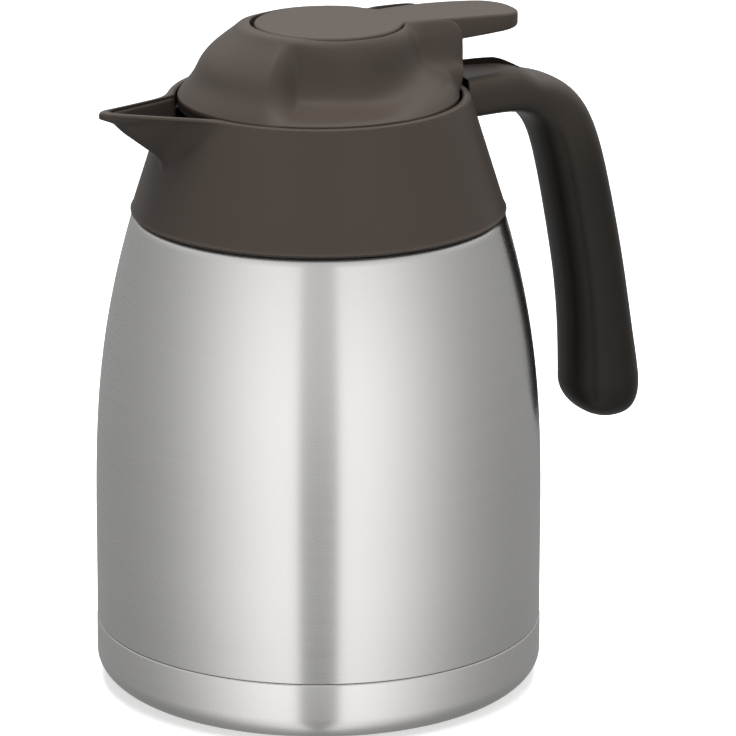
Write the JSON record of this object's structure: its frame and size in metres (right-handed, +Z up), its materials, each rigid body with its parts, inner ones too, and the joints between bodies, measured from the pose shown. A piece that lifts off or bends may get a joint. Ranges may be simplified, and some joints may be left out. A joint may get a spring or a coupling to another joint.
{
  "type": "thermal carafe",
  "caption": "Double-walled steel thermal carafe with a spouted collar, open hook handle and screw-in stopper whose thumb lever opens a pouring valve.",
  "frame": {"origin": "on the vessel's axis, in the plane of the ring that it stands on", "axes": "+Z up along the vessel's axis, +X towards the handle, so the spout points to -X"},
  "size_m": [0.1853, 0.14, 0.2111],
  "materials": {
    "body_steel": "brushed round the body, clear satin",
    "base_steel": "brushed round the body, clear satin",
    "liner_steel": "plain drawn sheet",
    "copper_foil": "thin bright foil",
    "getter_powder": "pressed powder",
    "solder_glass": "dull fused glass",
    "silicone": "translucent white",
    "black_rubber": "matte",
    "collar_plastic": "fine satin grain",
    "handle_plastic": "fine satin grain",
    "handle_cover_plastic": "fine satin grain",
    "lid_plastic": "fine satin grain",
    "lever_plastic": "fine satin grain",
    "stopper_plastic": "plain polypropylene",
    "foam": "closed-cell foam",
    "screw_steel": "plain",
    "spring_steel": "drawn wire"
  },
  "bodies": {
    "carafe": {"outer_shell": "body_steel", "base_cup": "base_steel", "inner_liner": "liner_steel", "vessel_bottom": "liner_steel", "radiation_foil": "copper_foil", "getter_holder": "liner_steel", "getter_pellet": "getter_powder", "vacuum_plug": "solder_glass", "neck_gasket": "silicone", "collar": "collar_plastic", "handle": "handle_plastic", "handle_cover": "handle_cover_plastic", "handle_screws": "screw_steel"},
    "seal_ring": {"stopper_seal": "silicone"},
    "stopper": {"stopper_body": "stopper_plastic", "stopper_foam": "foam", "lid_cover": "lid_plastic", "lever_pin": "screw_steel", "stem_seal": "black_rubber", "valve_spring": "spring_steel"},
    "lever": {"lever": "lever_plastic"},
    "valve": {"stem_cap": "stopper_plastic", "valve_stem": "stopper_plastic", "valve_plug": "stopper_plastic", "valve_gasket": "silicone", "valve_screw": "screw_steel"}
  },
  "joints": [
    {"name": "stopper_rise", "type": "slide", "parent": "carafe", "child": "seal_ring", "axis": [0, 0, 1], "range_m": [0, 0.0521]},
    {"name": "stopper_turn", "type": "hinge", "parent": "seal_ring", "child": "stopper", "pos_m": [0, 0, 0.156], "axis": [0, 0, 1], "range_deg": [0, 720]},
    {"name": "lever_press", "type": "hinge", "parent": "stopper", "child": "lever", "pos_m": [-0.017, 0, 0.2048], "axis": [0, 1, 0], "range_deg": [0, 6], "stiffness_Nm_per_rad": 2, "springref_deg": -6.88},
    {"name": "valve_slide", "type": "slide", "parent": "stopper", "child": "valve", "axis": [0, 0, -1], "range_m": [0, 0.0018], "deforming": ["valve_spring"]}
  ],
  "couplings": [
    {"joint": "stopper_rise", "follows": "stopper_turn", "m_per_rad": 0.004138},
    {"joint": "valve_slide", "follows": "lever_press", "m_per_rad": 0.017}
  ]
}
